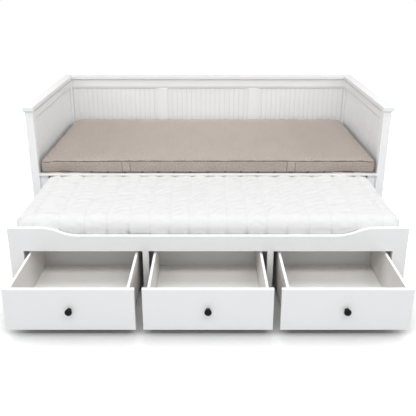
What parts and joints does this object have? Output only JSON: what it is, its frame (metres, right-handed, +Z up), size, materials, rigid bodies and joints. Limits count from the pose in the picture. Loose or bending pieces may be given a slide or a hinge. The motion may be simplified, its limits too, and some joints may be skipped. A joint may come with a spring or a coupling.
{
  "type": "daybed",
  "caption": "Panelled white daybed with a mattress, a pull-out lower bed on casters and storage drawers in its wave-topped front.",
  "frame": {"origin": "on the floor, at the middle of the part's box as it stands with the lower bed and the drawers pulled out", "axes": "+X along the bed to the right seen from the front, +Y to the back, +Z up"},
  "size_m": [2.107, 1.907, 0.849],
  "materials": {
    "white_paint": "satin white paint",
    "drawer_white": "white foil",
    "slat_wood": "untreated pine",
    "rail_white": "white powder coat",
    "zinc_steel": "zinc plated",
    "knob_black": "black-brown lacquer",
    "wheel_grey": "moulded",
    "glide_plastic": "moulded",
    "taupe_cover": "woven taupe cover",
    "quilted_white": "quilted white ticking"
  },
  "bodies": {
    "daybed_frame": {"back_bottom_rail": "white_paint", "back_cap": "white_paint", "back_ledger": "white_paint", "back_left_panel": "white_paint", "back_middle_panel": "white_paint", "back_mullions": "white_paint", "back_right_panel": "white_paint", "back_top_rail": "white_paint", "foot_glides": "glide_plastic", "front_rail": "rail_white", "left_bottom_rail": "white_paint", "left_cap": "white_paint", "left_front_post": "white_paint", "left_rear_post": "white_paint", "left_side_panel": "white_paint", "left_top_rail": "white_paint", "right_bottom_rail": "white_paint", "right_cap": "white_paint", "right_front_post": "white_paint", "right_rear_post": "white_paint", "right_side_panel": "white_paint", "right_top_rail": "white_paint", "side_ledgers": "white_paint", "upper_mattress": "taupe_cover", "upper_slats": "slat_wood"},
    "lower_bed": {"wave_board": "white_paint", "left_end_stile": "white_paint", "right_end_stile": "white_paint", "inner_stiles": "white_paint", "left_side_board": "white_paint", "right_side_board": "white_paint", "left_partition": "white_paint", "right_partition": "white_paint", "rear_rail": "white_paint", "stop_guides": "white_paint", "slat_bearers": "slat_wood", "lower_slats": "slat_wood", "lower_mattress": "quilted_white", "fixed_runners": "zinc_steel", "caster_brackets": "zinc_steel", "caster_pins": "zinc_steel"},
    "left_drawer": {"left_drawer_back": "drawer_white", "left_drawer_bottom": "drawer_white", "left_drawer_front": "white_paint", "left_drawer_sides": "drawer_white", "left_knob": "knob_black"},
    "middle_drawer": {"middle_drawer_back": "drawer_white", "middle_drawer_bottom": "drawer_white", "middle_drawer_front": "white_paint", "middle_drawer_sides": "drawer_white", "middle_knob": "knob_black"},
    "right_drawer": {"right_drawer_back": "drawer_white", "right_drawer_bottom": "drawer_white", "right_drawer_front": "white_paint", "right_drawer_sides": "drawer_white", "right_knob": "knob_black"},
    "left_front_wheel": {"left_front_wheel": "wheel_grey"},
    "left_rear_wheel": {"left_rear_wheel": "wheel_grey"},
    "right_front_wheel": {"right_front_wheel": "wheel_grey"},
    "right_rear_wheel": {"right_rear_wheel": "wheel_grey"}
  },
  "joints": [
    {"name": "lower_bed_slide", "type": "slide", "parent": "daybed_frame", "child": "lower_bed", "axis": [0, -1, 0], "range_m": [-0.588, 0.2]},
    {"name": "left_drawer_slide", "type": "slide", "parent": "lower_bed", "child": "left_drawer", "axis": [0, -1, 0], "range_m": [-0.319, 0.13]},
    {"name": "middle_drawer_slide", "type": "slide", "parent": "lower_bed", "child": "middle_drawer", "axis": [0, -1, 0], "range_m": [-0.319, 0.13]},
    {"name": "right_drawer_slide", "type": "slide", "parent": "lower_bed", "child": "right_drawer", "axis": [0, -1, 0], "range_m": [-0.319, 0.13]},
    {"name": "left_front_wheel_spin", "type": "hinge", "parent": "lower_bed", "child": "left_front_wheel", "pos_m": [-0.9595, -0.4935, 0.025], "axis": [1, 0, 0], "continuous": true},
    {"name": "left_rear_wheel_spin", "type": "hinge", "parent": "lower_bed", "child": "left_rear_wheel", "pos_m": [-0.9595, 0.1865, 0.025], "axis": [1, 0, 0], "continuous": true},
    {"name": "right_front_wheel_spin", "type": "hinge", "parent": "lower_bed", "child": "right_front_wheel", "pos_m": [0.9595, -0.4935, 0.025], "axis": [1, 0, 0], "continuous": true},
    {"name": "right_rear_wheel_spin", "type": "hinge", "parent": "lower_bed", "child": "right_rear_wheel", "pos_m": [0.9595, 0.1865, 0.025], "axis": [1, 0, 0], "continuous": true}
  ]
}
